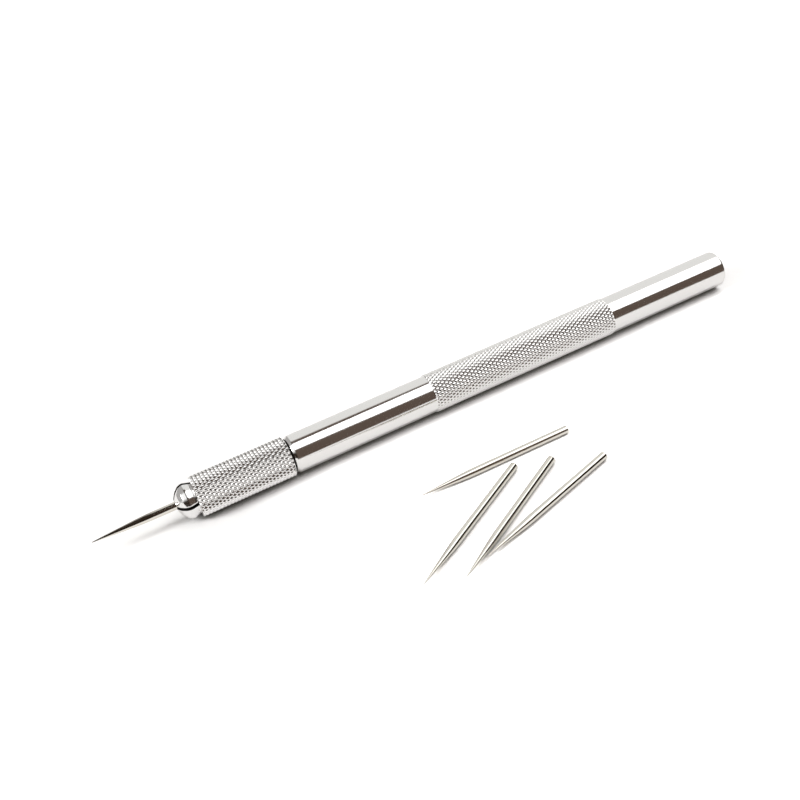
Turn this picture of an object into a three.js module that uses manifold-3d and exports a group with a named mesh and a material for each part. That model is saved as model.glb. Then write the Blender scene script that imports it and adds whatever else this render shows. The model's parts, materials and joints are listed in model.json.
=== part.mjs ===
// A hand tool for letting trapped air out of film: a steel needle held in a round aluminium handle.
// The needle sits in a split chuck. The chuck's threaded tail screws into the handle, and the knurled
// collar, trapped between the chuck's head and the handle, turns it and closes its four jaws.
// Four spare needles lie beside the tool. All lengths are millimetres and all angles degrees.
// The tool lies along X with its tail's flat face at x = 0, its needle towards -X and +Z up.
import * as THREE from "three";
import { mergeVertices } from "three/addons/utils/BufferGeometryUtils.js";
import Module from "manifold-3d";

// Handle, turned from 5/16 inch bar.
const handleRadius = 3.97;
const handleLength = 104.75;
const tailRounding = 0.45;
const frontChamfer = 0.7;
const tapDepth = 10.5;

// Knurled grip band round the middle of the handle. The radius is over the tips of the knurl.
const gripRadius = 4.15;
const gripLength = 43.6;
const gripToTail = 29.7;
const gripEndSlope = 0.15;

// Knurled collar. The radius is over the tips of the knurl.
const collarRadius = 4.23;
const collarLength = 19.7;
const collarEdge = 0.25;

// Diamond knurl: two crossed sets of grooves, each at the helix angle, with this many starts.
const knurlTeeth = 30;
const knurlAngle = 30;
const knurlDepth = 0.27;

// Split chuck. Its nose and widest ring are measured forwards from the collar's front face.
const chuckBodyRadius = 2.45;
const chuckRingRadius = 3.67;
const ringForward = 1.75;
const ringLand = 0.35;
const noseForward = 4.0;
const noseFaceRadius = 1.3;
const noseChamferRadius = 2.5;
const noseChamferDepth = 0.62;
const shoulderRadius = 3.42;
const shoulderDepth = 1.5;
const coneAngle = 18;
const slotWidth = 0.45;
const slotLength = 14.2;
const slotTurn = 72.6;
const threadRadius = 2.35;
const threadLength = 8.5;
const threadLeadIn = 0.5;

// Needles, all of one kind.
const needleRadius = 0.81;
const needleLength = 32.5;
const needleTaper = 10.3;
const needleShoulderRadius = 0.5;
const needleShoulderAt = 5.6;
const needleEdge = 0.12;
const needleHeld = 15.8;
const needleBlindSpace = 1.2;

// Clearances between pieces.
const collarEndGap = 0.25;
const coneGap = 0.1;
const collarBoreGap = 0.25;
const threadGap = 0.1;
const needleGap = 0.09;
const slotRootGap = 0.3;

// Spare needles, seen from above: where each point lies and which way it looks. The fourth needle's
// point lies close beside the third, a little behind its point.
const spare1PointX = -86.88;
const spare1PointY = -21.58;
const spare1Heading = 179.3;
const spare2PointX = -96.56;
const spare2PointY = -40.68;
const spare2Heading = -150.6;
const spare3PointX = -89.59;
const spare3PointY = -43.43;
const spare3Heading = -150.2;
const spare4Back = 6.0;
const spare4SideGap = 0.49;
const spare4Heading = -163.6;

// Sides of the round pieces. Two to a tooth lets the knurl's tips and grooves fall on the corners.
const handleSides = 2 * knurlTeeth;
const chuckSides = 40;
const needleSides = 16;

// Places along X that follow from the sizes above.
const handleFront = -handleLength;
const collarRear = handleFront - collarEndGap;
const collarFront = collarRear - collarLength;
const noseX = collarFront - noseForward;
const ringX = collarFront - ringForward;
const coneSlope = Math.tan(THREE.MathUtils.degToRad(coneAngle));
const coneEnd = ringX + ringLand + (chuckRingRadius - chuckBodyRadius) / coneSlope;
const slotRoot = noseX + slotLength;
const needleButt = noseX + needleHeld;
const gripRear = -gripToTail;
const gripFront = gripRear - gripLength;

// The round pieces lie on a flat of their collar, so the ground is at the flat's height.
const groundZ = -collarRadius * Math.cos(Math.PI / handleSides);

const metal = (color, roughness) => new THREE.MeshStandardMaterial({ color, roughness, metalness: 1 });
const handleMetal = metal(0xd9dadb, 0.22);
const collarMetal = metal(0xd2d3d4, 0.3);
const chuckMetal = metal(0xdcdddd, 0.15);
const needleMetal = metal(0xb9b4ae, 0.18);

const wasm = await Module();
wasm.setup();

function solidOf(geometry) {
  const bare = geometry.clone();
  bare.deleteAttribute("normal");
  bare.deleteAttribute("uv");
  const merged = mergeVertices(bare, 1e-4);
  const corners = merged.index.array;
  const triangles = [];
  for (let i = 0; i < corners.length; i += 3) {
    const [a, b, c] = corners.slice(i, i + 3);
    if (a !== b && b !== c && c !== a) triangles.push(a, b, c);
  }
  return new wasm.Manifold(
    new wasm.Mesh({
      numProp: 3,
      vertProperties: merged.attributes.position.array,
      triVerts: new Uint32Array(triangles),
    }),
  );
}

function geometryOf(solid) {
  const mesh = solid.getMesh();
  const geometry = new THREE.BufferGeometry();
  geometry.setAttribute("position", new THREE.BufferAttribute(mesh.vertProperties, mesh.numProp));
  geometry.setIndex(new THREE.BufferAttribute(mesh.triVerts, 1));
  geometry.computeVertexNormals();
  return geometry;
}

// Turns a profile of [x, radius] pairs about the X axis. The first corner is half a side from +Z,
// so a round piece with an even number of sides rests on a flat.
function turned(profile, sides, onFlat = true) {
  const points = profile.map(([x, radius]) => new THREE.Vector2(radius, x));
  const start = onFlat ? Math.PI / sides : 0;
  const geometry = new THREE.LatheGeometry(points, sides, start);
  geometry.rotateZ(-Math.PI / 2);
  return geometry;
}

// A round edge as a few [x, radius] points, from angle a to angle b about a centre.
function rounded(centreX, centreRadius, radius, a, b, steps) {
  return Array.from({ length: steps + 1 }, (_, i) => {
    const angle = THREE.MathUtils.degToRad(a + ((b - a) * i) / steps);
    return [centreX + radius * Math.cos(angle), centreRadius + radius * Math.sin(angle)];
  });
}

// The rings of a diamond knurl between two places along X. Grooves cross at every other corner of a
// ring, the corners between are the tips of the diamonds, and the next ring has them the other way.
function knurled(from, to, tipRadius) {
  const toothWidth = (2 * Math.PI * tipRadius) / knurlTeeth;
  const toothLength = toothWidth / Math.tan(THREE.MathUtils.degToRad(knurlAngle));
  const steps = 2 * Math.round((to - from) / toothLength);
  return Array.from({ length: steps + 1 }, (_, row) => ({
    x: from + ((to - from) * row) / steps,
    radiusAt: (corner) => tipRadius - ((corner + row) % 2 ? 0 : knurlDepth),
    row,
  }));
}

// A closed skin about the X axis through rings that are [x, radius] pairs or rings of a knurl. It
// closes on the axis, or on itself where the last ring repeats the first.
function skinned(rings, sides) {
  const positions = [];
  const corners = rings.map((ring) => {
    const { x, radiusAt } = Array.isArray(ring) ? { x: ring[0], radiusAt: () => ring[1] } : ring;
    return Array.from({ length: sides }, (_, corner) => {
      const angle = (2 * Math.PI * (corner + 0.5)) / sides;
      const radius = radiusAt(corner);
      positions.push(x, -radius * Math.sin(angle), radius * Math.cos(angle));
      return positions.length / 3 - 1;
    });
  });
  const triangles = [];
  for (let i = 1; i < rings.length; i += 1) {
    for (let k = 0; k < sides; k += 1) {
      const next = (k + 1) % sides;
      const [a, b, c, d] = [corners[i - 1][k], corners[i - 1][next], corners[i][next], corners[i][k]];
      const alongGroove = ((rings[i - 1].row ?? 0) + k) % 2 === 0;
      if (alongGroove) triangles.push(a, b, c, a, c, d);
      else triangles.push(a, b, d, b, c, d);
    }
  }
  const skin = new THREE.BufferGeometry();
  skin.setAttribute("position", new THREE.Float32BufferAttribute(positions, 3));
  skin.setIndex(triangles);
  const closed = geometryOf(solidOf(skin));
  return closed;
}

function named(name, geometry, material) {
  const mesh = new THREE.Mesh(geometry, material);
  mesh.name = name;
  return mesh;
}

// Handle: a solid bar with a tapped hole in its front end.
function makeHandle() {
  const tapRadius = threadRadius + threadGap;
  const tapBottom = handleFront + tapDepth;
  const profile = [
    [tapBottom, 0],
    [tapBottom, tapRadius],
    [handleFront, tapRadius],
    [handleFront, handleRadius - frontChamfer],
    [handleFront + frontChamfer, handleRadius],
    [gripFront, handleRadius],
    ...knurled(gripFront + gripEndSlope, gripRear - gripEndSlope, gripRadius),
    [gripRear, handleRadius],
    ...rounded(-tailRounding, handleRadius - tailRounding, tailRounding, 90, 0, 3),
    [0, 0],
  ];
  return named("handle", skinned(profile, handleSides), handleMetal);
}

// Collar: a sleeve whose front mouth is a cone that fits the back of the chuck's head.
function makeCollar() {
  const boreRadius = chuckBodyRadius + collarBoreGap;
  const coneOffset = coneGap / Math.cos(THREE.MathUtils.degToRad(coneAngle));
  const coneRadiusAt = (x) => chuckBodyRadius + (coneEnd - x) * coneSlope + coneOffset;
  const mouthEnd = coneEnd - (boreRadius - chuckBodyRadius - coneOffset) / coneSlope;
  const profile = [
    [mouthEnd, boreRadius],
    [collarFront, coneRadiusAt(collarFront)],
    [collarFront, collarRadius - knurlDepth],
    ...knurled(collarFront + collarEdge, collarRear - collarEdge, collarRadius),
    [collarRear, collarRadius - knurlDepth],
    [collarRear, boreRadius],
    [mouthEnd, boreRadius],
  ];
  return named("collar", skinned(profile, handleSides), collarMetal);
}

// Chuck jaws: the head and the split length behind it, bored for the needle and cut by two crossed
// slots into four like jaws.
function makeJaws() {
  const boreRadius = needleRadius + needleGap;
  const profile = [
    [slotRoot, boreRadius],
    [noseX, boreRadius],
    [noseX, noseFaceRadius],
    [noseX + noseChamferDepth, noseChamferRadius],
    [noseX + shoulderDepth, shoulderRadius],
    [ringX, chuckRingRadius],
    [ringX + ringLand, chuckRingRadius],
    [coneEnd, chuckBodyRadius],
    [slotRoot, chuckBodyRadius],
    [slotRoot, boreRadius],
  ];
  const whole = solidOf(turned(profile, chuckSides));
  const span = 2 * chuckRingRadius;
  const quarter = new THREE.BoxGeometry(slotLength + span, span, span);
  quarter.translate(noseX + slotLength / 2, (span + slotWidth) / 2, (span + slotWidth) / 2);
  const jaw = geometryOf(whole.intersect(solidOf(quarter)));
  return [1, 2, 3, 4].map((number) => {
    const mesh = named(`collet_jaw_${number}`, jaw, chuckMetal);
    mesh.rotation.x = ((number - 1) * Math.PI) / 2;
    return mesh;
  });
}

// Chuck stem: the part behind the slots, with the needle's blind hole and the threaded tail.
function makeStem() {
  const boreRadius = needleRadius + needleGap;
  const stemFront = slotRoot + slotRootGap;
  const boreEnd = needleButt + needleBlindSpace;
  const threadEnd = handleFront + threadLength;
  const profile = [
    [boreEnd, 0],
    [boreEnd, boreRadius],
    [stemFront, boreRadius],
    [stemFront, chuckBodyRadius],
    [collarRear, chuckBodyRadius],
    [collarRear, threadRadius],
    [threadEnd - threadLeadIn, threadRadius],
    [threadEnd, threadRadius - threadLeadIn],
    [threadEnd, 0],
  ];
  return named("collet_stem", turned(profile, chuckSides), chuckMetal);
}

// A needle with its butt at the origin and its point along -X. The taper is a little convex.
function makeNeedle(name) {
  const profile = [
    [-needleLength, 0],
    [-needleLength + needleShoulderAt, needleShoulderRadius],
    [-needleLength + needleTaper, needleRadius],
    [-needleEdge, needleRadius],
    [0, needleRadius - needleEdge],
    [0, 0],
  ];
  return named(name, turned(profile, needleSides, false), needleMetal);
}

const chuck = new THREE.Group();
chuck.rotation.x = THREE.MathUtils.degToRad(slotTurn);
const fittedNeedle = makeNeedle("fitted_needle");
fittedNeedle.position.x = needleButt;
chuck.add(makeStem(), ...makeJaws(), fittedNeedle);

// A spare needle on the ground, from where its point lies and which way it looks.
function laySpare(number, pointX, pointY, heading) {
  const needle = makeNeedle(`spare_needle_${number}`);
  const turn = THREE.MathUtils.degToRad(heading);
  const buttX = pointX - needleLength * Math.cos(turn);
  const buttY = pointY - needleLength * Math.sin(turn);
  needle.position.set(buttX, buttY, groundZ + needleRadius);
  needle.rotation.z = turn + Math.PI;
  return needle;
}

const spare3Turn = THREE.MathUtils.degToRad(spare3Heading);
const spare4Side = needleShoulderRadius + spare4SideGap;
const spare4PointX = spare3PointX - spare4Back * Math.cos(spare3Turn) - spare4Side * Math.sin(spare3Turn);
const spare4PointY = spare3PointY - spare4Back * Math.sin(spare3Turn) + spare4Side * Math.cos(spare3Turn);

const spareNeedles = new THREE.Group();
spareNeedles.add(
  laySpare(1, spare1PointX, spare1PointY, spare1Heading),
  laySpare(2, spare2PointX, spare2PointY, spare2Heading),
  laySpare(3, spare3PointX, spare3PointY, spare3Heading),
  laySpare(4, spare4PointX, spare4PointY, spare4Heading),
);

const tool = new THREE.Group();
tool.add(makeHandle(), makeCollar(), chuck, spareNeedles);

export default tool;
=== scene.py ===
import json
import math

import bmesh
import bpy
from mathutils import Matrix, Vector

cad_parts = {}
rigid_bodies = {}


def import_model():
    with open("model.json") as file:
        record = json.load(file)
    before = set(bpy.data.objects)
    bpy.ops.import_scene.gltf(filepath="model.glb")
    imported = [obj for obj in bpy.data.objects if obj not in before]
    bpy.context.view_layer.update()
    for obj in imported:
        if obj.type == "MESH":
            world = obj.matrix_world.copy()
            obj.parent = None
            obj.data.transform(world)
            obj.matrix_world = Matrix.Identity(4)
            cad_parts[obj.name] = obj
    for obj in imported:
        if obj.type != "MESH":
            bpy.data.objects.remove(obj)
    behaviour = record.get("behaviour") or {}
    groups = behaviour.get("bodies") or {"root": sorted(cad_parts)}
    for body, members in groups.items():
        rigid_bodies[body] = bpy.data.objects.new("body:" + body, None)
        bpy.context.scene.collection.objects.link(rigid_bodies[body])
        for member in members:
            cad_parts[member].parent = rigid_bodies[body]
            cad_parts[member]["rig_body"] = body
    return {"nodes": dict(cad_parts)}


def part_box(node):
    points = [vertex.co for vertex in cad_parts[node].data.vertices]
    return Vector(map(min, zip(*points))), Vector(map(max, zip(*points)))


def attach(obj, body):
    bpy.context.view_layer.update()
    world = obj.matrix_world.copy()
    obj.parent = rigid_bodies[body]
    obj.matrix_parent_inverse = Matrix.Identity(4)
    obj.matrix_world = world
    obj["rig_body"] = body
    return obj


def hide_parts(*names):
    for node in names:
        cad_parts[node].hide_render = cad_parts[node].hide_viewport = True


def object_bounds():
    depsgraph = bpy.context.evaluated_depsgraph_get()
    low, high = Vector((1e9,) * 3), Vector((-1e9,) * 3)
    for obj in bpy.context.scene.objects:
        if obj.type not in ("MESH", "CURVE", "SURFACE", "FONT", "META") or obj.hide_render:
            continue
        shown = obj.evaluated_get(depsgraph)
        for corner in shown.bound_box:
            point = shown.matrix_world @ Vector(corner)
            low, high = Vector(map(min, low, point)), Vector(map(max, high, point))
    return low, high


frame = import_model()

# %% [markdown]
# # An air release tool
# This is a pen-shaped hand tool. A steel needle pricks trapped air bubbles out of film. The needle sits
# in a split chuck, and the knurled collar screws the chuck shut. Four spare needles lie beside the tool.
#
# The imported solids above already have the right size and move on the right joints. They are faceted, so
# this lesson makes a finer piece for each of them, at exactly the same place, and gives it its finish.
# A turned tool is mostly surfaces of revolution, so most cells draw half a section and spin it.

MM = 0.001
X_AXIS = Vector((1, 0, 0))
FULL_TURN = 2 * math.pi
cad_low, cad_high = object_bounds()
print("packed size in mm:", [round(side / MM, 2) for side in cad_high - cad_low])

# %% [markdown]
# ## Driving sizes
# The sizes are the real tool's, in millimetres. Pieces are modelled in millimetres too, because a furrow
# is 0.2 or 0.3 mm deep and small numbers are easy to misread in metres. Each piece is scaled
# down to metres in the last step, when it becomes an object. The tool lies along X: its tail's flat face
# is at x = 0 and its needle points to -X.

# %% Sizes of the handle, collar and knurl
handle_radius = 3.97
handle_length = 104.75
tail_rounding = 0.45
front_chamfer = 0.7
front_chamfer_drop = 0.45
tap_depth = 10.5
tap_radius = 2.45
grip_radius = 4.15
grip_length = 43.6
grip_to_tail = 29.7
grip_end_slope = 0.15
collar_radius = 4.23
collar_length = 19.7
collar_edge = 0.25
collar_front_edge = 0.12
collar_end_gap = 0.25
collar_bore_radius = 2.7
knurl_teeth = 30
knurl_angle = math.radians(30)
knurl_depth = 0.27
grip_furrow = 0.2
grip_fullness = 1.8
grip_flanks = 0.0
collar_furrow = 0.3
collar_fullness = 1.1
collar_flanks = 0.65

handle_front = -handle_length
grip_rear = -grip_to_tail
grip_front = grip_rear - grip_length
collar_rear = handle_front - collar_end_gap
collar_front = collar_rear - collar_length
print("handle front", handle_front, "collar front", round(collar_front, 2))

# %% Sizes of the chuck and the needles
chuck_body_radius = 2.45
chuck_ring_radius = 3.67
ring_land = 0.35
ring_x = collar_front - 1.75
nose_x = collar_front - 4.0
nose_face_radius = 1.3
nose_chamfer_radius = 2.5
nose_chamfer_depth = 0.62
shoulder_radius = 3.42
shoulder_depth = 1.5
cone_angle = math.radians(18)
cone_slope = math.tan(cone_angle)
cone_clearance = 0.1
slot_width = 0.68
slot_root = nose_x + 14.2
slot_turn = math.radians(75)
thread_radius = 2.35
thread_length = 8.5
thread_pitch = 0.8
needle_radius = 0.81
needle_length = 32.5
needle_taper = 10.3
needle_shoulder_radius = 0.5
needle_shoulder_at = 5.6
needle_gap = 0.09
needle_swell_radius = 0.28
needle_swell_at = 2.4
needle_tip_radius = 0.08
needle_butt = nose_x + 15.8
cone_end = ring_x + ring_land + (chuck_ring_radius - chuck_body_radius) / cone_slope
ground_z = cad_low.z / MM
print("needle point", round(needle_butt - needle_length, 2), "ground", round(ground_z, 4))

# %% [markdown]
# ## The camera
# The photograph is taken from above and in front, from about 21 centimetres away. The camera is set by
# the point on the tool's own level that it looks at, by three angles, and by how far away it stands.
# Its picture is square, and the tool crosses it from lower left to upper right because the camera is
# also rolled a little.

# %% The camera
aim = Vector((-79.07, 1.88, 0))
camera_distance = 211.4
camera_heading = math.radians(20.23)
camera_dip = math.radians(40.23)
camera_roll = math.radians(-10.3)
camera_data = bpy.data.cameras.new("camera")
camera_data.lens = 46.21
camera_data.sensor_width = 36
camera_data.clip_start = 0.01
camera = bpy.data.objects.new("camera", camera_data)
bpy.context.scene.collection.objects.link(camera)
bpy.context.scene.camera = camera
turn = (
    Matrix.Rotation(-camera_heading, 4, "Z")
    @ Matrix.Rotation(math.pi / 2 - camera_dip, 4, "X")
    @ Matrix.Rotation(camera_roll, 4, "Z")
)
looking = turn.to_3x3() @ Vector((0, 0, -1))
camera.matrix_world = Matrix.Translation((aim - looking * camera_distance) * MM) @ turn
print("camera at", [round(value / MM, 1) for value in camera.matrix_world.translation], "mm")

# %% [markdown]
# ## The studio
# Polished metal has almost no colour of its own: it shows the room. So the room is built with care. The
# tool lies on white paper. A softbox hangs overhead to the right. A lamp at the left throws the needle's
# soft shadow. The wall behind is light grey. The left side is mid grey with a bright window, and between
# window and softbox it is dark, which darkens the fitted needle. The side where the camera stands is dark
# brown, which gives round metal its dark stripe. Boards and more lamps could stand there too, but one
# glowing sheet, one lamp and a painted world give the same reflections and are quicker to adjust.

# %% Stage pieces
def stage_piece(name, bm, material):
    """Turns a bmesh in metres into an object that isn't part of the tool."""
    mesh = bpy.data.meshes.new(name)
    bm.to_mesh(mesh)
    bm.free()
    mesh.materials.append(material)
    piece = bpy.data.objects.new(name, mesh)
    bpy.context.scene.collection.objects.link(piece)
    return piece


print("the stage's ground is at z =", round(ground_z, 2), "mm")

# %% The softbox's light
softbox_strength = 2.0


def emitting(name, colour, strength):
    """A plain lit surface, for a softbox."""
    material = bpy.data.materials.new(name)
    material.use_nodes = True
    nodes, links = material.node_tree.nodes, material.node_tree.links
    nodes.clear()
    emission = nodes.new("ShaderNodeEmission")
    emission.inputs["Color"].default_value = (*colour, 1)
    emission.inputs["Strength"].default_value = strength
    output = nodes.new("ShaderNodeOutputMaterial")
    links.new(emission.outputs["Emission"], output.inputs["Surface"])
    return material


softbox_light = emitting("softbox_light", (1.0, 1.0, 1.0), softbox_strength)
print(softbox_light.name, "with strength", softbox_strength)

# %% [markdown]
# The paper, the room and the metals are all built from nodes. Three small helpers place the kinds that
# repeat. They take sockets or plain numbers, so the steps that use them read like short sums.

# %% Helpers for nodes
def math_in(tree):
    """Gives a function that adds a Math node to the tree."""
    def add(operation, *values, clamp=False):
        node = tree.nodes.new("ShaderNodeMath")
        node.operation = operation
        node.use_clamp = clamp
        for socket, value in zip(node.inputs, values):
            if isinstance(value, (int, float)):
                socket.default_value = value
            else:
                tree.links.new(value, socket)
        return node.outputs["Value"]
    return add


def soft_step(tree, value, step):
    """A soft step from 0 at the step's first number to 1 at its second."""
    node = tree.nodes.new("ShaderNodeMapRange")
    node.interpolation_type = "SMOOTHSTEP"
    node.inputs["From Min"].default_value, node.inputs["From Max"].default_value = step
    tree.links.new(value, node.inputs["Value"])
    return node.outputs["Result"]


def mix_in(tree, factor, first, second):
    """Mixes two colours, from the first at 0 to the second at 1."""
    node = tree.nodes.new("ShaderNodeMix")
    node.data_type = "RGBA"
    tree.links.new(factor, node.inputs["Factor"])
    for socket, colour in ((node.inputs["A"], first), (node.inputs["B"], second)):
        if isinstance(colour, bpy.types.NodeSocket):
            tree.links.new(colour, socket)
        else:
            socket.default_value = (*colour[:3], 1)
    return node.outputs["Result"]


print("helpers for nodes: math_in, soft_step and mix_in")

# %% [markdown]
# The paper's colour is the only thing that makes the background white. Where the camera sees it, it is
# brighter than paper, so that it burns out to white: painted light. It is painted a little less bright near
# the fitted needle, whose faint shadow shows, and brightest round the spare needles, a painted pool of
# light under which they show hardly any shadow.
# The metal sees it as white paper, it lights the tool as plain paper does, and it keeps the tool's
# shadow.

# %% The paper's colours
paper_colour = (0.94, 0.94, 0.94)
reflected_paper_colour = (0.97, 0.96, 0.95)
# Painted light: the camera's levels of the paper, above what its lighting gives.
painted_light_near_needle = (1.03, 1.026, 1.02)
painted_burn_out = (1.45, 1.445, 1.44)
painted_light_round_spares = (1.8, 1.79, 1.78)
paper = bpy.data.materials.new("white_paper")
paper.use_nodes = True
paper_tree = paper.node_tree
nodes, links = paper_tree.nodes, paper_tree.links
nodes.clear()
print("paper:", paper_colour, "in the metal:", reflected_paper_colour)

# %% Where the paper burns out
needle_shadow = (-0.14, -0.012, 0)
shadow_reach = (22 * MM, 45 * MM)
spares_start = (-10 * MM, -18 * MM)
paper_place = nodes.new("ShaderNodeTexCoord").outputs["Object"]
from_shadow = nodes.new("ShaderNodeVectorMath")
from_shadow.operation = "DISTANCE"
from_shadow.inputs[1].default_value = needle_shadow
links.new(paper_place, from_shadow.inputs[0])
burnt = soft_step(paper_tree, from_shadow.outputs["Value"], shadow_reach)

place_parts = nodes.new("ShaderNodeSeparateXYZ")
links.new(paper_place, place_parts.inputs["Vector"])
in_front = soft_step(paper_tree, place_parts.outputs["Y"], spares_start)
# A painted pool of light in front of the tool, round the spare needles.
painted_bright_paper = mix_in(paper_tree, in_front, painted_burn_out, painted_light_round_spares)
seen_paper = mix_in(paper_tree, burnt, painted_light_near_needle, painted_bright_paper)
print("needle's shadow at", needle_shadow)

# %% [markdown]
# Right beside the tool the photograph has a thin, almost black line of contact. Light hardly gets in
# there. An Ambient Occlusion node finds paper that is close to the tool, and the camera sees it darker.
# The metal doesn't, so its lower edge stays bright.

# %% The painted shade along the line of contact
# Painted shade: the paper's colour darkens close to the tool, where the camera looks.
painted_contact_shade = (0.02, 0.015, 0.012)
contact_reach = 2.0
contact_range = (0.15, 0.65)
contact_least = 0.1
contact = nodes.new("ShaderNodeAmbientOcclusion")
contact.samples = 8
contact.inputs["Distance"].default_value = contact_reach * MM
contact_shade = nodes.new("ShaderNodeMapRange")
contact_shade.inputs["From Min"].default_value = contact_range[0]
contact_shade.inputs["From Max"].default_value = contact_range[1]
contact_shade.inputs["To Min"].default_value = contact_least
links.new(contact.outputs["AO"], contact_shade.inputs["Value"])
contact_here = contact_shade.outputs["Result"]
seen_contact = mix_in(paper_tree, contact_here, painted_contact_shade, seen_paper)
print("line of contact:", contact_reach, "mm")

# %% [markdown]
# A Light Path node tells who looks: the camera sees the paper that burns out, a reflection sees a nearly
# white sheet, and the light that the paper gives back is a plain sheet's. The paper is a single face at
# the height where the tool touches the ground.

# %% The sheet of paper
paper_half_width = 0.8
ray = nodes.new("ShaderNodeLightPath")
glossy, by_camera = ray.outputs["Is Glossy Ray"], ray.outputs["Is Camera Ray"]
for_metal = mix_in(paper_tree, glossy, paper_colour, reflected_paper_colour)
for_all = mix_in(paper_tree, by_camera, for_metal, seen_contact)
paper_shader = nodes.new("ShaderNodeBsdfDiffuse")
links.new(for_all, paper_shader.inputs["Color"])
paper_output = nodes.new("ShaderNodeOutputMaterial")
links.new(paper_shader.outputs["BSDF"], paper_output.inputs["Surface"])
bm = bmesh.new()
bmesh.ops.create_grid(bm, x_segments=1, y_segments=1, size=paper_half_width)
bmesh.ops.translate(bm, verts=bm.verts, vec=(0, 0, ground_z * MM))
floor = stage_piece("paper_floor", bm, paper)
print("paper is", round(floor.dimensions.x, 2), "m wide")

# %% [markdown]
# The softbox is a plain glowing sheet, cut to the outline that gives the bar its broad white strip. Its
# corners are given as (x, half width) in shares of its height. The lamp is a small disc, because only a
# small light throws a shadow that shows beside the thin needle.

# %% The overhead softbox
softbox_height = 0.9
softbox_centre_y = -0.25
softbox_corners = ((-0.085, 0.37), (0.1, 0.38), (0.5, 0.57), (0.9, 0.58))
sides = [(x, softbox_centre_y + y) for x, y in softbox_corners]
sides += [(x, softbox_centre_y - y) for x, y in reversed(softbox_corners)]
bm = bmesh.new()
rim = [bm.verts.new((x * softbox_height, y * softbox_height, softbox_height)) for x, y in sides]
bm.faces.new(rim)
softbox = stage_piece("softbox", bm, softbox_light)
print("softbox:", [round(side, 2) for side in softbox.dimensions])

# %% The lamp at the left
left_lamp = bpy.data.lights.new("left_lamp", "AREA")
left_lamp.shape = "DISK"
left_lamp.size = 0.35
left_lamp.energy = 10.0
left_lamp_object = bpy.data.objects.new("left_lamp", left_lamp)
bpy.context.scene.collection.objects.link(left_lamp_object)
left_lamp_place = Vector((-1.1, 0.0, 0.72))
left_lamp_object.location = left_lamp_place
left_lamp_object.rotation_euler = left_lamp_place.to_track_quat("Z", "Y").to_euler()
print("left lamp:", left_lamp.energy, "W")

# %% [markdown]
# The rest of the room is painted on the world, by direction. `to_right` is how far a direction points to
# +X. `lean` is its angle about the tool's axis: 0 is straight behind the tool, 90 degrees is overhead
# and 180 is in front. A round bar mirrors one lean in each of its long strips, so the dark stripe on the
# bar is the brown side between the softbox and the paper. The world could be an image, but a few soft
# steps are enough and each can be moved by its own number.

# %% Directions in the room
room = bpy.data.worlds.new("room")
room.use_nodes = True
bpy.context.scene.world = room
room_tree = room.node_tree
nodes, links = room_tree.nodes, room_tree.links
nodes.clear()
room_math = math_in(room_tree)
direction = nodes.new("ShaderNodeTexCoord")
parts = nodes.new("ShaderNodeSeparateXYZ")
links.new(direction.outputs["Generated"], parts.inputs["Vector"])
to_right = parts.outputs["X"]
lean = room_math("ARCTAN2", parts.outputs["Z"], parts.outputs["Y"])


def to_right_step(step):
    """A soft step in how far a direction points to the right."""
    return soft_step(room_tree, to_right, step)


def lean_step(step, angle=lean):
    """A soft step in the lean, given in degrees."""
    return soft_step(room_tree, angle, [math.radians(degrees) for degrees in step])


print("room nodes before any colour:", len(nodes))

# %% The dark side
brown = (0.115, 0.085, 0.068)
near_black = (0.028, 0.019, 0.013)
darker_to_left = (0.08, 0.0)
darker_to_right = (0.6, 0.72)
room_colour = mix_in(room_tree, to_right_step(darker_to_left), brown, near_black)
room_colour = mix_in(room_tree, to_right_step(darker_to_right), room_colour, near_black)
print("brown side:", brown, "its ends:", near_black)

# %% [markdown]
# The wall behind gives the bar its light grey upper edge. It reaches a little higher at the right. At the
# left it ends, apart from a dim foot.

# %% The wall behind
grey_wall = (0.88, 0.88, 0.86)
wall_edge = (69, 62)
wall_rises = (0.2, 0.5)
wall_rise = math.radians(8)
wall_starts = (-0.05, 0.04)
foot_edge = (52, 42)
foot_share = 0.5
higher = room_math("MULTIPLY", to_right_step(wall_rises), wall_rise)
wall_top = lean_step(wall_edge, room_math("SUBTRACT", lean, higher))
dim_foot = room_math("MULTIPLY", lean_step(foot_edge), foot_share)
wall_start = room_math("MAXIMUM", to_right_step(wall_starts), dim_foot)
room_colour = mix_in(room_tree, room_math("MULTIPLY", wall_top, wall_start), room_colour, grey_wall)
print("room nodes with the wall:", len(nodes))

# %% [markdown]
# The chuck's head is domed and the needle's point tapers, so both also mirror what lies far to the left:
# mid grey from the back to well past overhead, with a bright window in it that carries on the line of
# the softbox. Low down at the far right there is grey again. Where the camera sees past the paper, it
# sees plain white.

# %% The left side and its window
left_colour = (0.45, 0.44, 0.43)
window_light = (1.05, 1.05, 1.05)
left_starts = (-0.26, -0.33)
left_edge = (142, 132)
window_top = (78, 86)
window_foot = (132, 124)
left_side = to_right_step(left_starts)
left_grey = room_math("MULTIPLY", left_side, lean_step(left_edge))
room_colour = mix_in(room_tree, left_grey, room_colour, left_colour)
window_height = room_math("MULTIPLY", lean_step(window_top), lean_step(window_foot))
window = room_math("MULTIPLY", left_side, window_height)
room_colour = mix_in(room_tree, window, room_colour, window_light)
print("window between leans of", window_top[0], "and", window_foot[0], "degrees")

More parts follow.
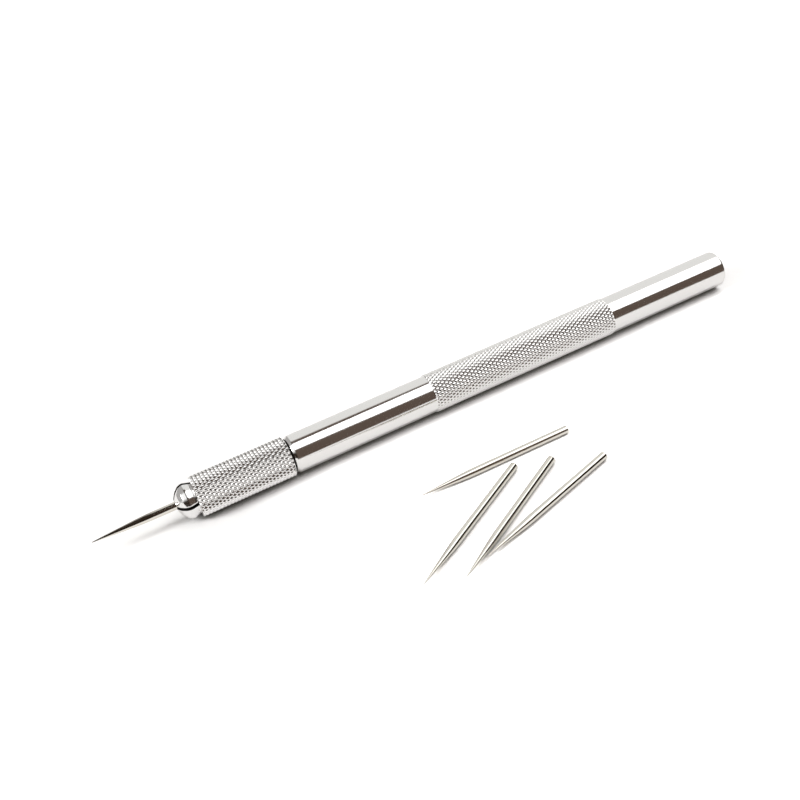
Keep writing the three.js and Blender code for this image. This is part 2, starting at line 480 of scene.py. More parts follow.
# %% The far right and what the camera sees
far_grey = (0.7, 0.69, 0.68)
far_starts = (0.84, 0.92)
far_top = (0.25, 0.12)
far_side = to_right_step(far_starts)
far_height = soft_step(room_tree, parts.outputs["Z"], far_top)
room_colour = mix_in(room_tree, room_math("MULTIPLY", far_side, far_height), room_colour, far_grey)
seen_by_camera = nodes.new("ShaderNodeLightPath").outputs["Is Camera Ray"]
room_colour = mix_in(room_tree, seen_by_camera, room_colour, (1.0, 1.0, 1.0))
background = nodes.new("ShaderNodeBackground")
links.new(room_colour, background.inputs["Color"])
world_output = nodes.new("ShaderNodeOutputWorld")
links.new(background.outputs["Background"], world_output.inputs["Surface"])
bpy.context.scene.view_settings.view_transform = "Standard"
print("room nodes:", len(nodes))

# %% [markdown]
# ## How a turned piece is made
# A lathe cuts a profile while the bar turns. The same is done here: a few points give half a section,
# each sharp corner that the cutter rounds off is bevelled while the section is still a line, and the
# line is spun a full turn about the X axis. Spinning keeps the mesh regular, so it shades smoothly.

# %% Drawing a section
long_run = 2.0
support_margin = 0.15
rounding_steps = 5


def section(bm, points, roundings=()):
    """Joins (x, radius) points into a line. Each rounding is (point number, how far it reaches).

    A long straight run gets a further point near each end, so that the shading of an edge stays at
    that edge and the run reflects like a true cylinder.
    """
    before = set(bm.verts)
    reach = dict(roundings)
    corners, line = [], []
    for number, (x, radius) in enumerate(points):
        corner = Vector((x, 0, radius))
        if number and (corner - line[-1].co).length > long_run:
            start = line[-1].co.copy()
            way = (corner - start).normalized()
            line.append(bm.verts.new(start + way * (reach.get(number - 1, 0) + support_margin)))
            line.append(bm.verts.new(corner - way * (reach.get(number, 0) + support_margin)))
        line.append(bm.verts.new(corner))
        corners.append(line[-1])
    for pair in zip(line, line[1:]):
        bm.edges.new(pair)
    for number, distance in roundings:
        bmesh.ops.bevel(
            bm,
            geom=[corners[number]],
            offset=distance,
            offset_type="OFFSET",
            affect="VERTICES",
            segments=rounding_steps,
            profile=0.5,
            material=-1,
        )
    return [vert for vert in bm.verts if vert not in before and vert.is_wire]


print("runs over", long_run, "mm get support points")

# %% Spinning and cleaning it
full_turn_steps = 120
merge_distance = 0.0005


def spin_section(bm, points, roundings=(), steps=full_turn_steps):
    """Spins a section a full turn about the X axis."""
    made = section(bm, points, roundings)
    edges = list(dict.fromkeys(edge for vert in made for edge in vert.link_edges))
    bmesh.ops.spin(
        bm,
        geom=made + edges,
        cent=(0, 0, 0),
        axis=X_AXIS,
        angle=FULL_TURN,
        steps=steps,
        use_merge=True,
    )


def tidy(bm):
    """Merges what coincides and turns all faces outwards."""
    bmesh.ops.remove_doubles(bm, verts=bm.verts, dist=merge_distance)
    bmesh.ops.dissolve_degenerate(bm, edges=bm.edges, dist=merge_distance)
    bmesh.ops.recalc_face_normals(bm, faces=bm.faces)


print("steps in a full turn:", full_turn_steps)

# %% [markdown]
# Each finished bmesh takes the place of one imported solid. It is scaled to metres, shaded smooth with its
# real edges kept sharp, tied to the solid's body so that it moves with the joints, and measured against
# the solid's box.

# %% Turning a bmesh into a piece of the tool
sharp_angle = math.radians(32)


def piece_from(bm, node, material):
    """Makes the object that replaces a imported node, rides on its body and sits at the origin."""
    open_edges = sum(len(edge.link_faces) != 2 for edge in bm.edges)
    triangles = sum(len(face.verts) - 2 for face in bm.faces)
    bmesh.ops.scale(bm, verts=bm.verts, vec=(MM, MM, MM))
    mesh = bpy.data.meshes.new(node + "_fine")
    bm.to_mesh(mesh)
    bm.free()
    mesh.shade_smooth()
    mesh.set_sharp_from_angle(angle=sharp_angle)
    mesh.materials.append(material)
    piece = bpy.data.objects.new(node + "_fine", mesh)
    bpy.context.scene.collection.objects.link(piece)
    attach(piece, frame["nodes"][node]["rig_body"])
    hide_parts(node)
    low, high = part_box(node)
    corners = [Vector(corner) for corner in piece.bound_box]
    out = max(max(c[i] - high[i], low[i] - c[i]) for c in corners for i in range(3)) / MM
    print(f"{node}: {triangles} triangles, {open_edges} open edges, {out:.3f} mm past its solid")
    return piece


print("edges over", round(math.degrees(sharp_angle)), "degrees stay sharp")

# %% [markdown]
# ## Diamond knurl
# A knurling tool rolls two crossed sets of furrows into the bar and leaves rows of small cushions
# between them. One cushion is modelled from a small grid. A grid point is placed by how far it lies
# across the first furrow and the second, each from -1 to 1. Its height drops towards both, half way
# where it meets one furrow, and all the way where two furrows cross, so the crossings are small pits.
# The collar was cut harder, so part of its drop follows the nearer furrow alone, which gives flat flanks
# and long furrow lines. Each point keeps how deep it lies, 0 on top and 1 in a pit, for the finish.

# %% One cushion of the knurl
cushion_steps = 5
furrow = "furrow"


def cushion(bm, at_x, tip_radius, row_length, depth, fullness, flank_share):
    """One diamond between the furrows, on the +Z side of the bar."""
    half_tooth = math.pi / knurl_teeth
    layer = bm.verts.layers.float.new(furrow)
    bmesh.ops.create_grid(bm, x_segments=cushion_steps, y_segments=cushion_steps, size=1)
    for vert in bm.verts:
        first, second = vert.co.x, vert.co.y
        pillow = (abs(first) ** fullness + abs(second) ** fullness) / 2
        flanks = max(abs(first), abs(second)) ** fullness
        drop = (1 - flank_share) * pillow + flank_share * flanks
        vert[layer] = drop
        radius = tip_radius - depth * drop
        turn = (first - second) / 2 * half_tooth
        x = at_x + (first + second) / 4 * row_length
        vert.co = (x, radius * math.sin(turn), radius * math.cos(turn))


def everything(bm):
    """All parts of a bmesh, for the operators that ask for geometry."""
    return bm.verts[:] + bm.edges[:] + bm.faces[:]


print("faces in a cushion:", cushion_steps ** 2)

# %% [markdown]
# The first cushion is copied half a row along and half a tooth round, which gives the diamond pattern.
# The pair is then repeated along the bar and round it, and a plane trims each end clean. A pattern in the
# material's bump could draw the knurl too, but its outline would stay smooth and nothing would catch
# the light at the edges.

# %% A whole knurled skin
neighbour_distance = 0.003
trim_snap = 0.0001


def knurled_skin(bm, start, end, tip_radius, depth, fullness, flank_share):
    """The outside of a knurled band, open at both ends, in an empty bmesh."""
    tooth_width = FULL_TURN * tip_radius / knurl_teeth
    rows = round((end - start) * math.tan(knurl_angle) / tooth_width)
    row_length = (end - start) / rows
    half_tooth = math.pi / knurl_teeth
    cushion(bm, start, tip_radius, row_length, depth, fullness, flank_share)
    first = everything(bm)
    copy = bmesh.ops.duplicate(bm, geom=first)["geom"]
    moved = [part for part in copy if isinstance(part, bmesh.types.BMVert)]
    half_turn = Matrix.Rotation(half_tooth, 3, "X")
    bmesh.ops.rotate(bm, verts=moved, cent=(0, 0, 0), matrix=half_turn)
    bmesh.ops.translate(bm, verts=moved, vec=(row_length / 2, 0, 0))
    bmesh.ops.spin(
        bm,
        geom=everything(bm),
        cent=(0, 0, 0),
        axis=X_AXIS,
        dvec=(row_length, 0, 0),
        angle=0,
        steps=rows,
        use_duplicate=True,
    )
    quarter_tooth = Matrix.Rotation(half_tooth / 2, 3, "X")
    bmesh.ops.rotate(bm, verts=bm.verts, cent=(0, 0, 0), matrix=quarter_tooth)
    bmesh.ops.spin(
        bm,
        geom=everything(bm),
        cent=(0, 0, 0),
        axis=X_AXIS,
        angle=FULL_TURN * (knurl_teeth - 1) / knurl_teeth,
        steps=knurl_teeth - 1,
        use_duplicate=True,
    )
    bmesh.ops.remove_doubles(bm, verts=bm.verts, dist=neighbour_distance)
    for place, way in ((start, -1), (end, 1)):
        bmesh.ops.bisect_plane(
            bm,
            geom=everything(bm),
            dist=trim_snap,
            plane_co=(place, 0, 0),
            plane_no=(way, 0, 0),
            clear_outer=True,
        )
    return rows * 2 * knurl_teeth


print("teeth round the bar:", knurl_teeth)

# %% Closing an end of the skin
tolerance = 0.01


def close_between(bm, first_x, second_x):
    """Bridges the two open rims that lie at these places along X."""
    rims = [
        edge
        for edge in bm.edges
        if edge.is_boundary
        and any(
            all(abs(vert.co.x - place) < tolerance for vert in edge.verts)
            for place in (first_x, second_x)
        )
    ]
    bmesh.ops.bridge_loops(bm, edges=rims)


print("rims are found within", tolerance, "mm of their place")

# %% [markdown]
# ## Finishes
# All metal parts share a few effects, so each effect is a node group: long faint streaks from drawing
# the bar, the fine rings of a lathe, dirt and painted shade in the bottoms of grooves, satin flanks of the
# knurl, and painted shade with some dirt in recesses. The shader itself stays in each material. Patterns
# read Object coordinates. A needle lies at an angle, so its mesh keeps the places that its points had on
# the lathe as an attribute, and its grinding marks follow that.

# %% A small kit for node groups
def socket_kind(value):
    """A place has no default, a colour has four numbers, and the rest are plain values."""
    if value is None:
        return "NodeSocketVector"
    return "NodeSocketColor" if isinstance(value, tuple) else "NodeSocketFloat"


def new_group(name, inputs, outputs):
    """An empty shader group. Its sockets are given by name, each with an example value."""
    group = bpy.data.node_groups.new(name, "ShaderNodeTree")
    for socket, value in inputs.items():
        kind = socket_kind(value)
        made = group.interface.new_socket(socket, in_out="INPUT", socket_type=kind)
        if value is not None:
            made.default_value = value
    for socket, value in outputs.items():
        group.interface.new_socket(socket, in_out="OUTPUT", socket_type=socket_kind(value))
    return group, group.nodes.new("NodeGroupInput"), group.nodes.new("NodeGroupOutput")


def stretched_noise(tree, vector, along, across, detail=3.0):
    """Noise in a place given in metres, with its own scale per millimetre along X and across it."""
    mapping = tree.nodes.new("ShaderNodeMapping")
    mapping.inputs["Scale"].default_value = (along / MM, across / MM, across / MM)
    tree.links.new(vector, mapping.inputs["Vector"])
    noise = tree.nodes.new("ShaderNodeTexNoise")
    noise.inputs["Scale"].default_value = 1.0
    noise.inputs["Detail"].default_value = detail
    tree.links.new(mapping.outputs["Vector"], noise.inputs["Vector"])
    return noise.outputs["Fac"]


print("kinds of socket:", [socket_kind(value) for value in (None, 0.0, (0, 0, 0, 1))])

# %% The groups for streaks and rings
fine_share = 0.6
noise_middle = 0.5
mark_inputs = {"Place": None, "Strength": 1.0}
streaks, inside, out = new_group("drawn_streaks", mark_inputs, {"Value": 0.0})
add = math_in(streaks)
fine = stretched_noise(streaks, inside.outputs["Place"], along=0.05, across=5.0)
broad = stretched_noise(streaks, inside.outputs["Place"], along=0.25, across=0.9, detail=2.0)
both = add("ADD", add("MULTIPLY", fine, fine_share), add("MULTIPLY", broad, 1 - fine_share))
centred = add("SUBTRACT", both, noise_middle)
streaks.links.new(add("MULTIPLY", centred, inside.outputs["Strength"]), out.inputs["Value"])

rings, inside, out = new_group("lathe_rings", mark_inputs, {"Value": 0.0})
add = math_in(rings)
fine = stretched_noise(rings, inside.outputs["Place"], along=14.0, across=0.12)
coarse = stretched_noise(rings, inside.outputs["Place"], along=4.0, across=0.12)
average = add("DIVIDE", add("ADD", fine, coarse), 2.0)
centred = add("SUBTRACT", average, noise_middle)
rings.links.new(add("MULTIPLY", centred, inside.outputs["Strength"]), out.inputs["Value"])
print("groups for marks:", streaks.name, rings.name)

# %% [markdown]
# Two more groups follow how deep a point lies in the knurl. The pits are darkened in uneven patches,
# partly as dirt and partly as painted shade, and the flanks of the cushions are less polished than their
# tops, which the hand rubs bright.

# %% The groups for dirt with painted shade, and for satin flanks
pit_sharpness = 5.0
least_patch = 0.4
flank_starts = (0.08, 0.3)
pit_dirt_and_shade_inputs = {"Place": None, "Furrow": 0.0, "Strength": 1.0}
# The pits are darkened partly as dirt and partly as painted shade.
pit_dirt_and_shade, inside, out = new_group("groove_dirt_and_shade", pit_dirt_and_shade_inputs, {"Mask": 0.0})
add = math_in(pit_dirt_and_shade)
patches = stretched_noise(pit_dirt_and_shade, inside.outputs["Place"], along=0.6, across=0.6)
patchy = add("ADD", patches, least_patch)
pits = add("POWER", inside.outputs["Furrow"], pit_sharpness)
strength = add("MULTIPLY", patchy, inside.outputs["Strength"])
pit_dirt_and_shade.links.new(add("MULTIPLY", pits, strength, clamp=True), out.inputs["Mask"])

satin, inside, out = new_group("satin_flanks", {"Furrow": 0.0, "Strength": 0.3}, {"Value": 0.0})
on_flank = soft_step(satin, inside.outputs["Furrow"], flank_starts)
rougher = math_in(satin)("MULTIPLY", on_flank, inside.outputs["Strength"])
satin.links.new(rougher, out.inputs["Value"])
print("groups for the knurl:", pit_dirt_and_shade.name, satin.name)

# %% [markdown]
# The saw cuts, the bores and the faces that look into a gap lie in shade and hold oil and dirt, and look
# nearly black. Clean metal would mirror light even in there, so such faces are marked in the mesh, and a
# group paints them dark and dull with painted shade and some dirt, whatever the finish was before.

# %% The group for painted shade and dirt in recesses
# Painted shade, with some dirt: this colour makes faces in recesses and gaps nearly black.
recess_shade_colour = (0.045, 0.04, 0.036, 1)
recess_dullness = 0.4
recess_inputs = {"Recess": 0.0, "Base Color": (0.8, 0.8, 0.8, 1), "Roughness": 0.5}
recess_outputs = {"Base Color": recess_shade_colour, "Roughness": 0.5}
recess_shade_and_dirt, inside, out = new_group("recess_shade_and_dirt", recess_inputs, recess_outputs)
add = math_in(recess_shade_and_dirt)
darker = mix_in(
    recess_shade_and_dirt, inside.outputs["Recess"], inside.outputs["Base Color"], recess_shade_colour
)
recess_shade_and_dirt.links.new(darker, out.inputs["Base Color"])
duller = add("MULTIPLY", inside.outputs["Recess"], recess_dullness)
dull = add("ADD", inside.outputs["Roughness"], duller, clamp=True)
recess_shade_and_dirt.links.new(dull, out.inputs["Roughness"])
print("group for recesses:", recess_shade_and_dirt.name)

# %% The metal that all pieces start from
def metal(name, colour, roughness):
    """A plain Principled metal, its node tree and its shader."""
    material = bpy.data.materials.new(name)
    material.use_nodes = True
    tree = material.node_tree
    shader = tree.nodes["Principled BSDF"]
    shader.inputs["Base Color"].default_value = (*colour, 1)
    shader.inputs["Metallic"].default_value = 1.0
    shader.inputs["Roughness"].default_value = roughness
    return material, tree, shader


def place_of(tree):
    """The socket that gives a point's place in the object."""
    return tree.nodes.new("ShaderNodeTexCoord").outputs["Object"]


def stored(tree, name, output):
    """A value or a place that the mesh keeps as an attribute."""
    node = tree.nodes.new("ShaderNodeAttribute")
    node.attribute_name = name
    return node.outputs[output]


print("kept in the meshes for the finishes:", furrow)

# %% Placing a group in a material
def use_group(tree, group, **values):
    """Adds a node group, fed by sockets or by its own numbers."""
    node = tree.nodes.new("ShaderNodeGroup")
    node.node_tree = group
    for name, value in values.items():
        if isinstance(value, (int, float)):
            node.inputs[name].default_value = value
        else:
            tree.links.new(value, node.inputs[name])
    return node.outputs[0]


print("groups to place:", [group.name for group in bpy.data.node_groups])

# %% Marks in the roughness and the relief, and grime in the colour
# Painted shade mixed with dirt, for the knurl's pits.
dirt_and_shade_colour = (0.2, 0.175, 0.155)


def rough_and_bump(tree, shader, mark, bump, rougher=0.0):
    """Lets a centred mark change the metal's own roughness and its bump a little."""
    add = math_in(tree)
    marked = add("ADD", mark, shader.inputs["Roughness"].default_value)
    total = add("ADD", marked, rougher, clamp=True)
    tree.links.new(total, shader.inputs["Roughness"])
    bump_node = tree.nodes.new("ShaderNodeBump")
    bump_node.inputs["Distance"].default_value = bump * MM
    tree.links.new(mark, bump_node.inputs["Height"])
    tree.links.new(bump_node.outputs["Normal"], shader.inputs["Normal"])


def add_dirt_and_shade(tree, shader, mask):
    """Mixes the colour of dirt and painted shade into the metal's own where the mask says."""
    base = shader.inputs["Base Color"]
    tree.links.new(mix_in(tree, mask, base.default_value, dirt_and_shade_colour), base)


print("grime's colour:", dirt_and_shade_colour)

# %% Marking the recesses
recess = "recess"


def mark_recess(bm, inside):
    """Stores which faces are saw cuts, bores or faces in a gap. They lie in shade and hold oil and dirt,
    and are painted dark.
    """
    layer = bm.faces.layers.float.get(recess) or bm.faces.layers.float.new(recess)
    bm.normal_update()
    for face in bm.faces:
        if inside(face.calc_center_median(), face.normal):
            face[layer] = 1.0


def paint_recess_shade(tree, shader):
    """Places the recess group last, behind the other effects."""
    node = tree.nodes.new("ShaderNodeGroup")
    node.node_tree = recess_shade_and_dirt
    tree.links.new(stored(tree, recess, "Fac"), node.inputs["Recess"])
    for name in ("Base Color", "Roughness"):
        socket = shader.inputs[name]
        if socket.is_linked:
            tree.links.new(socket.links[0].from_socket, node.inputs[name])
        else:
            node.inputs[name].default_value = socket.default_value
        tree.links.new(node.outputs[name], socket)


print("kept in the meshes for dark faces:", recess)

# %% [markdown]
# The handle is drawn aluminium bar, polished until it mirrors the room, with faint streaks along it. The
# grip band's pits are a little darker, partly dirt and partly painted shade, and its flanks are less
# bright than its tops. A rougher, greyer metal would be simpler, but then the long white and brown strips
# would be lost.

# %% Finish of the handle
bar_colour = (0.83, 0.82, 0.81)
bar_roughness = 0.12
bar_metal, tree, shader = metal("drawn_aluminium", bar_colour, bar_roughness)
place = place_of(tree)
depth = stored(tree, furrow, "Fac")
mark = use_group(tree, streaks, Place=place, Strength=0.16)
rougher = use_group(tree, satin, Furrow=depth, Strength=0.08)
rough_and_bump(tree, shader, mark, bump=0.025, rougher=rougher)
add_dirt_and_shade(tree, shader, use_group(tree, pit_dirt_and_shade, Place=place, Furrow=depth, Strength=0.5))
paint_recess_shade(tree, shader)
print(bar_metal.name, len(tree.nodes), "nodes")

# %% [markdown]
# The collar is aluminium too, but knurled all over and turned rather than drawn, so its marks are rings.
# Its furrows are deeper and get more dirt and painted shade, which draws the fine dark net. It could
# share the handle's material, but it looks lighter beside it, so it has its own.

# %% Finish of the collar
collar_colour = (0.95, 0.94, 0.935)
collar_roughness = 0.14
collar_metal, tree, shader = metal("knurled_aluminium", collar_colour, collar_roughness)
place = place_of(tree)
depth = stored(tree, furrow, "Fac")
mark = use_group(tree, rings, Place=place, Strength=0.12)
rougher = use_group(tree, satin, Furrow=depth, Strength=0.03)
rough_and_bump(tree, shader, mark, bump=0.01, rougher=rougher)
add_dirt_and_shade(tree, shader, use_group(tree, pit_dirt_and_shade, Place=place, Furrow=depth, Strength=1.1))
paint_recess_shade(tree, shader)
print(collar_metal.name, len(tree.nodes), "nodes")

# %% [markdown]
# The chuck's head is bright from the lathe. Its rings could be cut into the mesh, but they are far finer
# than its faces, so they are bump and roughness. Its saw cuts are painted nearly black, as shade with some
# dirt.

# %% Finish of the chuck
chuck_colour = (0.84, 0.835, 0.83)
chuck_roughness = 0.14
chuck_metal, tree, shader = metal("bright_turned_aluminium", chuck_colour, chuck_roughness)
mark = use_group(tree, rings, Place=place_of(tree), Strength=0.14)
rough_and_bump(tree, shader, mark, bump=0.012)
paint_recess_shade(tree, shader)
print(chuck_metal.name, len(tree.nodes), "nodes")

# %% [markdown]
# The needles are steel, a little warmer and darker than the aluminium. The shank is polished. The taper is
# ground, so it is slightly rougher and streaked along its length. Two materials would meet in a hard
# edge there, so one material goes from the first finish to the second over about half a millimetre.

# %% Finish of the needles
needle_colour = (0.75, 0.722, 0.665)
needle_roughness = 0.08
lathe_place = "lathe_place"
taper_blend = 0.6
taper_roughness = 0.03
needle_metal, tree, shader = metal("ground_needle_steel", needle_colour, needle_roughness)
place = stored(tree, lathe_place, "Vector")
add = math_in(tree)
split = tree.nodes.new("ShaderNodeSeparateXYZ")
tree.links.new(place, split.inputs["Vector"])
taper_start = (needle_taper - needle_length) * MM
past_start = add("SUBTRACT", taper_start, split.outputs["X"])
on_taper = add("DIVIDE", past_start, taper_blend * MM, clamp=True)
grinding = add("MULTIPLY", use_group(tree, streaks, Place=place, Strength=0.25), on_taper)
mark = add("ADD", grinding, add("MULTIPLY", on_taper, taper_roughness))
rough_and_bump(tree, shader, mark, bump=0.012)
print(needle_metal.name, len(tree.nodes), "nodes")

# %% [markdown]
# ## Handle
# The handle is one solid bar. Its profile has a small chamfer in front, a tapped blind hole behind that,
# and a rounded edge at the tail. The knurled band stands a little above the bar, because knurling
# pushes metal up, and its ends fall to the bar's surface in a short jagged slope. The band can't be
# spun, so the smooth bar is spun in two parts, before and behind it, and their open rims are bridged to
# the knurled skin. That keeps the handle one closed mesh.

# %% The handle's dark front end
tap_bottom = handle_front + tap_depth


def in_tapped_end(centre, normal):
    """True on the front end face and inside the tapped hole."""
    near_axis = math.hypot(centre.y, centre.z) < tap_radius + tolerance
    in_hole = near_axis and centre.x < tap_bottom + tolerance
    return centre.x < handle_front + tolerance or in_hole


print("tapped hole ends at", round(tap_bottom, 2))

# %% The handle
bm = bmesh.new()
skin_front = grip_front + grip_end_slope
skin_rear = grip_rear - grip_end_slope
cushions = knurled_skin(
    bm, skin_front, skin_rear, grip_radius, grip_furrow, grip_fullness, grip_flanks
)
front_part = (
    (tap_bottom, 0),
    (tap_bottom, tap_radius),
    (handle_front, tap_radius),
    (handle_front, handle_radius - front_chamfer_drop),
    (handle_front + front_chamfer, handle_radius),
    (grip_front, handle_radius),
)
spin_section(bm, front_part, roundings=((3, 0.06), (4, 0.08)))
rear_part = ((grip_rear, handle_radius), (0, handle_radius), (0, 0))
spin_section(bm, rear_part, roundings=((1, tail_rounding),))
close_between(bm, grip_front, skin_front)
close_between(bm, skin_rear, grip_rear)
tidy(bm)
mark_recess(bm, in_tapped_end)
piece_from(bm, "handle", bar_metal)
print("cushions on the grip:", cushions)

# %% [markdown]
# ## Collar
# The collar is a sleeve that is knurled from end to end. Its front mouth is a cone that fits the back of
# the chuck's head. The inside is spun as one open line, from one end face through the bore to the other,
# and both of its rims are bridged to the knurled skin.

# %% The collar's cone and its dark inside
cone_offset = cone_clearance / math.cos(cone_angle)
mouth_radius = chuck_body_radius + (cone_end - collar_front) * cone_slope + cone_offset
mouth_end = cone_end - (collar_bore_radius - chuck_body_radius - cone_offset) / cone_slope
end_face_radius = collar_radius - knurl_depth


def in_collar_bore(centre, normal):
    """True inside the bore and on the rear face, which looks into the gap."""
    in_bore = math.hypot(centre.y, centre.z) < collar_bore_radius + tolerance
    return in_bore or centre.x > collar_rear - tolerance


print("mouth radius", round(mouth_radius, 2), "to x", round(mouth_end, 2))

# %% The collar
bm = bmesh.new()
skin_front = collar_front + collar_front_edge
skin_rear = collar_rear - collar_edge
cushions = knurled_skin(
    bm, skin_front, skin_rear, collar_radius, collar_furrow, collar_fullness, collar_flanks
)
inside_line = (
    (collar_rear, end_face_radius),
    (collar_rear, collar_bore_radius),
    (mouth_end, collar_bore_radius),
    (collar_front, mouth_radius),
    (collar_front, end_face_radius),
)
spin_section(bm, inside_line, roundings=((1, 0.1), (3, 0.08)))
close_between(bm, collar_rear, skin_rear)
close_between(bm, collar_front, skin_front)
tidy(bm)
mark_recess(bm, in_collar_bore)
piece_from(bm, "collar", collar_metal)
print("cushions on the collar:", cushions)

# %% [markdown]
# ## Chuck
# The chuck is one piece of metal. Its domed head and split body are four springy jaws, so each jaw is a
# piece of its own here. A saw cuts two crossed slots through the turned head. The same is done with
# planes: the spun head is cut twice, each cut is filled, and a quarter is left. A small bevel along the
# cut edges catches the light, as the broken edges of the real slots do.

# %% Cutting a quarter out of a turned solid
saw_snap = 0.00001


def keep_beyond(bm, normal, distance):
    """Cuts away all that lies short of a plane and fills the cut."""
    cut = bmesh.ops.bisect_plane(
        bm,
        geom=everything(bm),
        dist=saw_snap,
        plane_co=normal * distance,
        plane_no=-normal,
        clear_outer=True,
    )["geom_cut"]
    rim = [part for part in cut if isinstance(part, bmesh.types.BMEdge)]
    bmesh.ops.edgenet_fill(bm, edges=rim)


print("saw cuts are", slot_width, "mm wide")

# %% The head's section
bore_radius = needle_radius + needle_gap
head_line = (
    (slot_root, bore_radius),
    (nose_x, bore_radius),
    (nose_x, nose_face_radius),
    (nose_x + nose_chamfer_depth, nose_chamfer_radius),
    (nose_x + shoulder_depth, shoulder_radius),
    (ring_x, chuck_ring_radius),
    (ring_x + ring_land, chuck_ring_radius),
    (cone_end, chuck_body_radius),
    (slot_root, chuck_body_radius),
    (slot_root, bore_radius),
)
head_roundings = ((2, 0.1), (3, 0.25), (4, 0.2), (5, 0.03), (6, 0.08))
print("head from", round(nose_x, 2), "to", round(slot_root, 2))

# %% The jaws
slot_edge = 0.025
cut_edge_angle = math.radians(40)
facing_cut = -0.95


def in_saw_cut(centre, normal):
    """True for a face in one of the two cut planes of a jaw, or in its bore."""
    cut = any(normal[i] < facing_cut and centre[i] < slot_width / 2 + tolerance for i in (1, 2))
    return cut or math.hypot(centre.y, centre.z) < bore_radius + tolerance


def jaw(number):
    """One of the four jaws, turned to its place round the chuck."""
    bm = bmesh.new()
    spin_section(bm, head_line, head_roundings, steps=96)
    tidy(bm)
    keep_beyond(bm, Vector((0, 1, 0)), slot_width / 2)
    keep_beyond(bm, Vector((0, 0, 1)), slot_width / 2)
    tidy(bm)
    sharp = [edge for edge in bm.edges if edge.calc_face_angle(0) > cut_edge_angle]
    bmesh.ops.bevel(
        bm,
        geom=sharp,
        offset=slot_edge,
        offset_type="OFFSET",
        affect="EDGES",
        segments=2,
        profile=0.5,
        material=-1,
        clamp_overlap=True,
    )
    tidy(bm)
    mark_recess(bm, in_saw_cut)
    place = Matrix.Rotation(slot_turn + (number - 1) * math.pi / 2, 3, "X")
    bmesh.ops.rotate(bm, verts=bm.verts, cent=(0, 0, 0), matrix=place)
    piece_from(bm, f"collet_jaw_{number}", chuck_metal)


for number in (1, 2, 3, 4):
    jaw(number)

# %% [markdown]
# The stem is the part of the chuck behind the slots. It is bored for the needle's butt and its tail is
# threaded. A true thread would be a helix, but it is hidden in the handle, so it is drawn as a row of
# plain rings at the thread's pitch, spun with the rest of the stem.

# %% The thread's section
thread_end = handle_front + thread_length
thread_depth = 0.3
thread_lead = 0.5
thread_relief = 0.6
thread_line = []
ring_place = collar_rear + thread_relief
while ring_place + thread_pitch < thread_end - thread_lead:
    thread_line.append((ring_place, thread_radius))
    thread_line.append((ring_place + thread_pitch / 2, thread_radius - thread_depth))
    ring_place += thread_pitch
print("thread rings:", len(thread_line) // 2)

# %% The stem
jaw_root_gap = 0.3
bore_past_butt = 1.2
dark_past_collar = 1.0
stem_front = slot_root + jaw_root_gap
bore_end = needle_butt + bore_past_butt
stem_line = (
    (bore_end, 0),
    (bore_end, bore_radius),
    (stem_front, bore_radius),
    (stem_front, chuck_body_radius),
    (collar_rear, chuck_body_radius),
    (collar_rear, thread_radius),
    *thread_line,
    (thread_end - thread_lead, thread_radius),
    (thread_end, thread_radius - thread_lead),
    (thread_end, 0),
)


# Painted shade: the stem behind the slots and inside the handle is made dark.
def on_hidden_stem(centre, normal):
    """True on the face behind the slots, and from just inside the collar to the threaded tail's end."""
    return centre.x > collar_rear - dark_past_collar or centre.x < stem_front + tolerance


bm = bmesh.new()
spin_section(bm, stem_line, steps=64)
tidy(bm)
mark_recess(bm, on_hidden_stem)
piece_from(bm, "collet_stem", chuck_metal)

# %% [markdown]
# ## Needles
# All five needles are alike: a straight pin with a slightly rounded butt, ground to a long point whose
# taper is a little convex. Each is spun with its butt at the origin, keeps these places for its marks,
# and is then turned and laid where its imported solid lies.

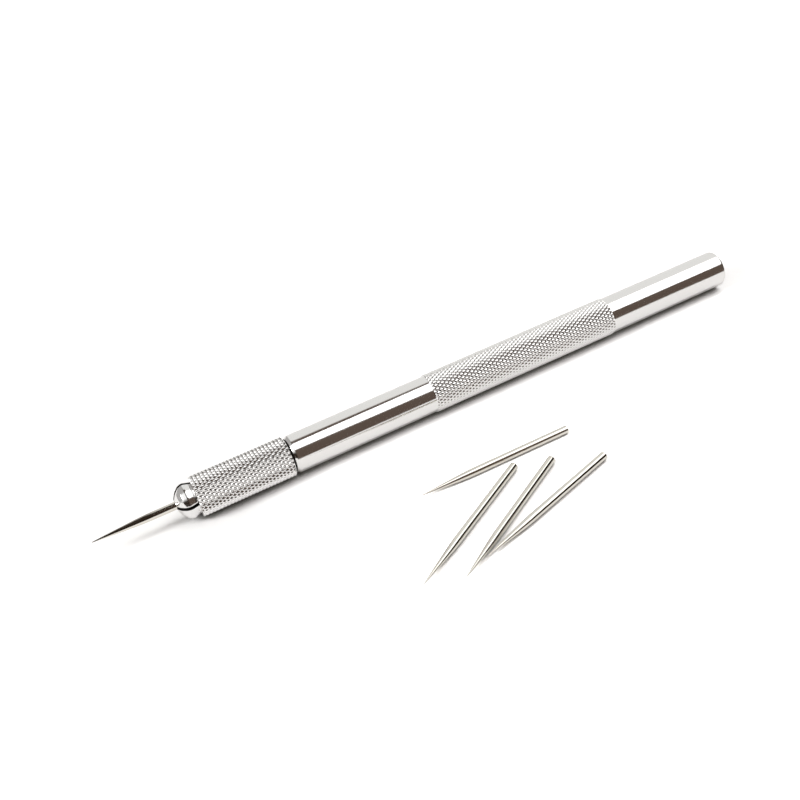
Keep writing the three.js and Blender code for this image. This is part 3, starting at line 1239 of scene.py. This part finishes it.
# %% A needle's section
needle_line = (
    (0, 0),
    (0, needle_radius),
    (-needle_length + needle_taper, needle_radius),
    (-needle_length + needle_shoulder_at, needle_shoulder_radius),
    (-needle_length + needle_swell_at, needle_swell_radius),
    (-needle_length, needle_tip_radius),
    (-needle_length, 0),
)
needle_roundings = ((1, 0.12), (2, 1.6), (3, 2.2))
print("taper:", needle_taper, "mm long")

# %% Making a needle
def needle(node, placing):
    """A needle with its butt at the origin, then moved by a placing matrix in millimetres."""
    bm = bmesh.new()
    spin_section(bm, needle_line, needle_roundings, steps=48)
    tidy(bm)
    on_lathe = [vert.co * MM for vert in bm.verts]
    bmesh.ops.transform(bm, matrix=placing, verts=bm.verts)
    piece = piece_from(bm, node, needle_metal)
    kept = piece.data.attributes.new(lathe_place, "FLOAT_VECTOR", "POINT")
    for value, place in zip(kept.data, on_lathe):
        value.vector = place


needle("fitted_needle", Matrix.Translation((needle_butt, 0, 0)))
print("fitted needle's point at", round(needle_butt - needle_length, 2))

# %% [markdown]
# The spare needles lie on the ground. They could be copies that share one mesh, but each has its place in
# its own mesh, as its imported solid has. Each is placed by where its point lies and which way it looks,
# seen from above, as a person would lay it down. The fourth one's point lies close beside the third.

# %% Where the spare needles lie
spare_points = {
    1: (-86.88, -21.58, 179.3),
    2: (-96.56, -40.68, -150.6),
    3: (-89.59, -43.43, -150.2),
}
third_turn = math.radians(spare_points[3][2])
third_point = Vector(spare_points[3][:2])
fourth_behind = 6.0
fourth_clearance = 0.49
fourth_beside = needle_shoulder_radius + fourth_clearance
forwards = Vector((math.cos(third_turn), math.sin(third_turn)))
sideways = Vector((-math.sin(third_turn), math.cos(third_turn)))
fourth_point = third_point - fourth_behind * forwards + fourth_beside * sideways
spare_points[4] = (*fourth_point, -163.6)
print("fourth point at", [round(value, 2) for value in fourth_point])

# %% Laying the spare needles
def lay_spare(number):
    """Lays a spare needle on the ground."""
    point_x, point_y, heading = spare_points[number]
    heading = math.radians(heading)
    butt = Vector((point_x, point_y, 0)) - needle_length * Vector((math.cos(heading), math.sin(heading), 0))
    butt.z = ground_z + needle_radius
    placing = Matrix.Translation(butt) @ Matrix.Rotation(heading + math.pi, 4, "Z")
    needle(f"spare_needle_{number}", placing)


for number in spare_points:
    lay_spare(number)
